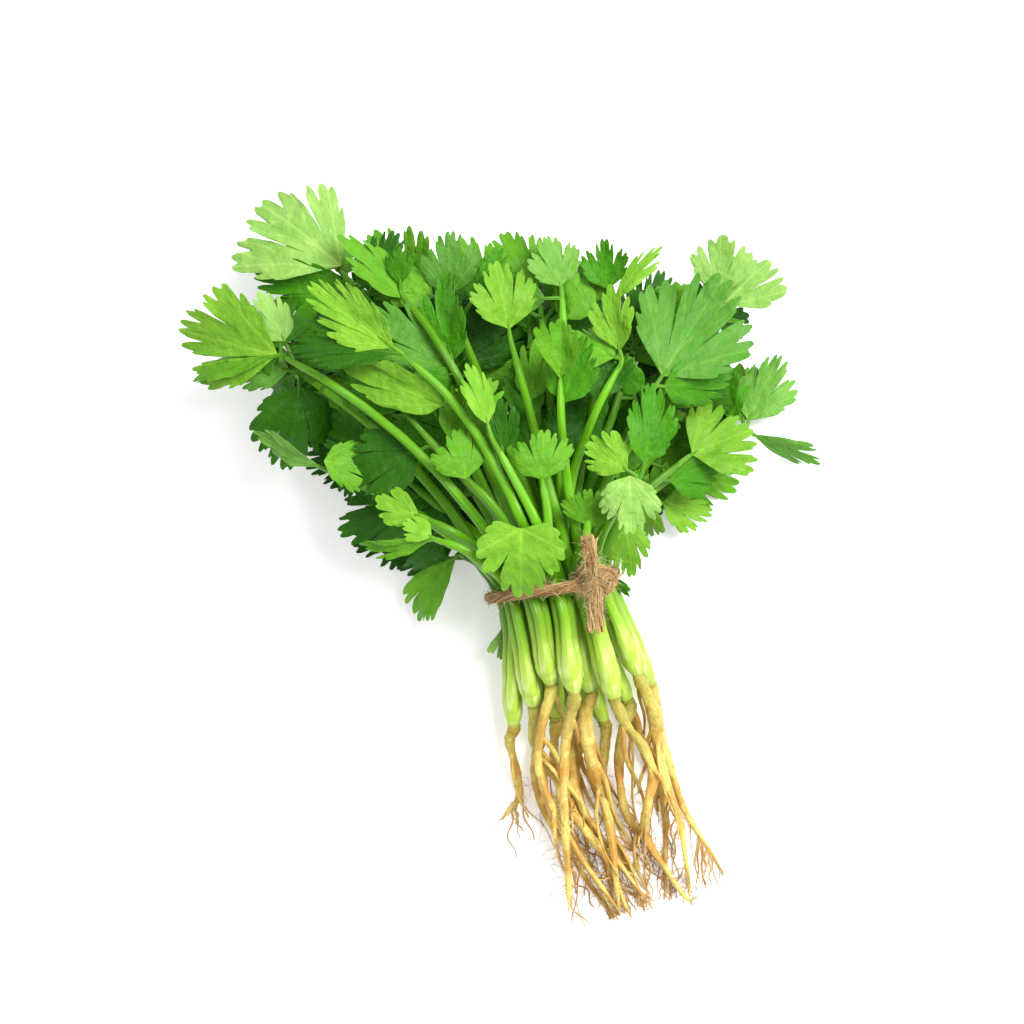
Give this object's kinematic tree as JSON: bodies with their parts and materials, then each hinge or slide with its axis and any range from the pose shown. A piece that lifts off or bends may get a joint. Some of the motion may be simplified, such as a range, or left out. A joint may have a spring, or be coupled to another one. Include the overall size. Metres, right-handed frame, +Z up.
{
  "type": "coriander bunch",
  "caption": "Bunch of fresh coriander lying on its side: leafy stems fanning out from a twine tie above the pale crowns and long tan roots.",
  "frame": {"origin": "centre of the bounding box on the surface the bunch lies on", "axes": "+Y along the bunch from the root tips to the leaves, +X across it, +Z up"},
  "size_m": [0.2102, 0.2821, 0.0836],
  "materials": {
    "leaf_green": "satin living leaf, veined, with paler stalks and whitish green crowns",
    "root_tan": "matt washed root, tan with brown stains and fine root hairs",
    "jute": "rough twisted jute with loose fibres"
  },
  "bodies": {
    "root": {"plant_01": "leaf_green", "plant_02": "leaf_green", "plant_03": "leaf_green", "plant_04": "leaf_green", "plant_05": "leaf_green", "plant_06": "leaf_green", "plant_07": "leaf_green", "plant_08": "leaf_green", "plant_09": "leaf_green", "plant_10": "leaf_green", "plant_11": "leaf_green", "plant_12": "leaf_green", "plant_13": "leaf_green", "plant_14": "leaf_green", "plant_15": "leaf_green", "root_01": "root_tan", "root_02": "root_tan", "root_03": "root_tan", "root_04": "root_tan", "root_05": "root_tan", "root_06": "root_tan", "root_07": "root_tan", "root_08": "root_tan", "root_09": "root_tan", "root_10": "root_tan", "root_11": "root_tan", "root_12": "root_tan", "root_13": "root_tan", "root_14": "root_tan", "root_15": "root_tan", "twine": "jute"}
  },
  "joints": []
}
